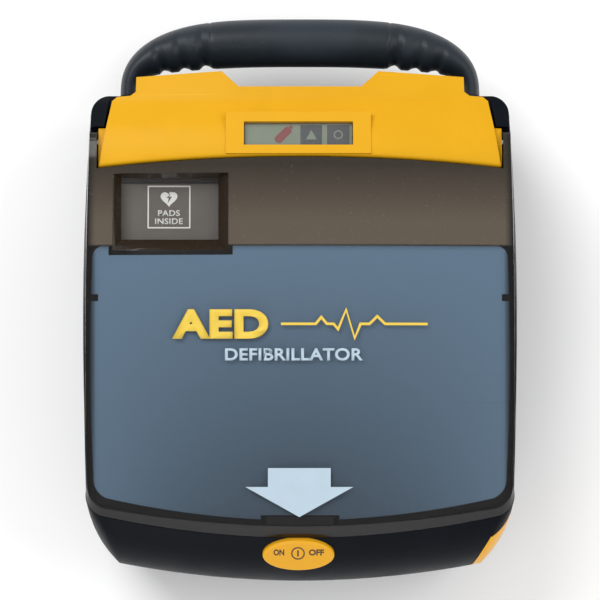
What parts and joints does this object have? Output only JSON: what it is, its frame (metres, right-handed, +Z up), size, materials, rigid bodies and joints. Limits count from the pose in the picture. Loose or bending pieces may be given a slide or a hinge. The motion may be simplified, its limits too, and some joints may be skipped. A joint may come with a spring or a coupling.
{
  "type": "defibrillator",
  "caption": "Portable carry-handled defibrillator with a smoke-tinted hinged lid, display hood, sloped power button and side-loading charger cartridge.",
  "frame": {"origin": "middle of the footprint, on the surface the feet rest on", "axes": "+Z up out of the face, +Y towards the carrying handle, +X towards the charger cartridge's side"},
  "size_m": [0.203, 0.2629, 0.107],
  "materials": {
    "casing_black": "fine moulded texture",
    "hood_yellow": "satin moulded",
    "smoke_plastic": "clear smoke tint, glossy",
    "clear_plastic": "clear, glossy",
    "display_glass": "display film",
    "circuit_board": "solder mask",
    "card_blue": "printed sheet",
    "steel": "plain",
    "button_yellow": "satin moulded",
    "shock_orange": "satin moulded",
    "dark_plastic": "moulded",
    "rubber_black": "soft touch",
    "spring_steel": "drawn wire",
    "pouch_foil": "sealed laminate",
    "label_black": "printed",
    "copper": "enamelled wire",
    "ferrite": "sintered",
    "contact_gold": "plated",
    "capacitor_sleeve": "shrink sleeve",
    "cell_wrap": "shrink sleeve",
    "infrared_red": "dark red filter",
    "plate_grey": "satin foil plate"
  },
  "bodies": {
    "casing": {"base_shell": "casing_black", "upper_casing": "casing_black", "case_gasket": "rubber_black", "case_screws": "steel", "top_hood": "hood_yellow", "display_lens": "clear_plastic", "display_panel": "display_glass", "display_board": "circuit_board", "power_spring": "spring_steel", "power_switch": "dark_plastic", "shock_bezel": "dark_plastic", "shock_spring": "spring_steel", "shock_switch": "dark_plastic", "inner_deck": "dark_plastic", "deck_screws": "steel", "electrode_pouch": "pouch_foil", "pouch_label": "label_black", "pouch_tab": "hood_yellow", "connector_socket": "dark_plastic", "electrode_connector": "pouch_foil", "infrared_window": "infrared_red", "speaker_frame": "dark_plastic", "speaker_magnet": "ferrite", "main_board": "circuit_board", "board_screws": "steel", "storage_capacitor": "capacitor_sleeve", "transformer_core": "ferrite", "transformer_windings": "copper", "discharge_relay": "dark_plastic", "battery_cells": "cell_wrap", "battery_tray": "dark_plastic", "cartridge_contacts": "contact_gold", "handle_core": "dark_plastic", "handle_grip": "rubber_black", "handle_arms": "rubber_black", "handle_screws": "steel", "rubber_feet": "rubber_black", "rating_plate": "plate_grey"},
    "lid": {"lid_shell": "smoke_plastic", "lid_window_pane": "clear_plastic", "instruction_card": "card_blue", "hinge_pins": "steel", "lid_catch": "dark_plastic"},
    "power_button": {"power_button": "button_yellow"},
    "latch": {"latch_slider": "button_yellow"},
    "shock_button": {"shock_button": "shock_orange"},
    "cartridge": {"cartridge_face": "button_yellow", "cartridge_body": "casing_black", "cartridge_cells": "cell_wrap", "cartridge_pins": "contact_gold"}
  },
  "joints": [
    {"name": "lid_hinge", "type": "hinge", "parent": "casing", "child": "lid", "pos_m": [0, 0.067, 0.0965], "axis": [-1, 0, 0], "range_deg": [0, 95]},
    {"name": "power_press", "type": "slide", "parent": "casing", "child": "power_button", "axis": [0, 0.6947, -0.7193], "range_m": [0, 0.0014], "stiffness_N_per_m": 1200, "deforming": ["power_spring"]},
    {"name": "latch_slide", "type": "slide", "parent": "casing", "child": "latch", "axis": [0, -1, 0], "range_m": [0, 0.00056]},
    {"name": "shock_press", "type": "slide", "parent": "casing", "child": "shock_button", "axis": [0, 0, -1], "range_m": [0, 0.002], "stiffness_N_per_m": 1200, "deforming": ["shock_spring"]},
    {"name": "cartridge_slide", "type": "slide", "parent": "casing", "child": "cartridge", "axis": [1, 0, 0], "range_m": [0, 0.095]}
  ],
  "couplings": [
    {"joint": "latch_slide", "follows": "power_press", "ratio": 0.4}
  ]
}
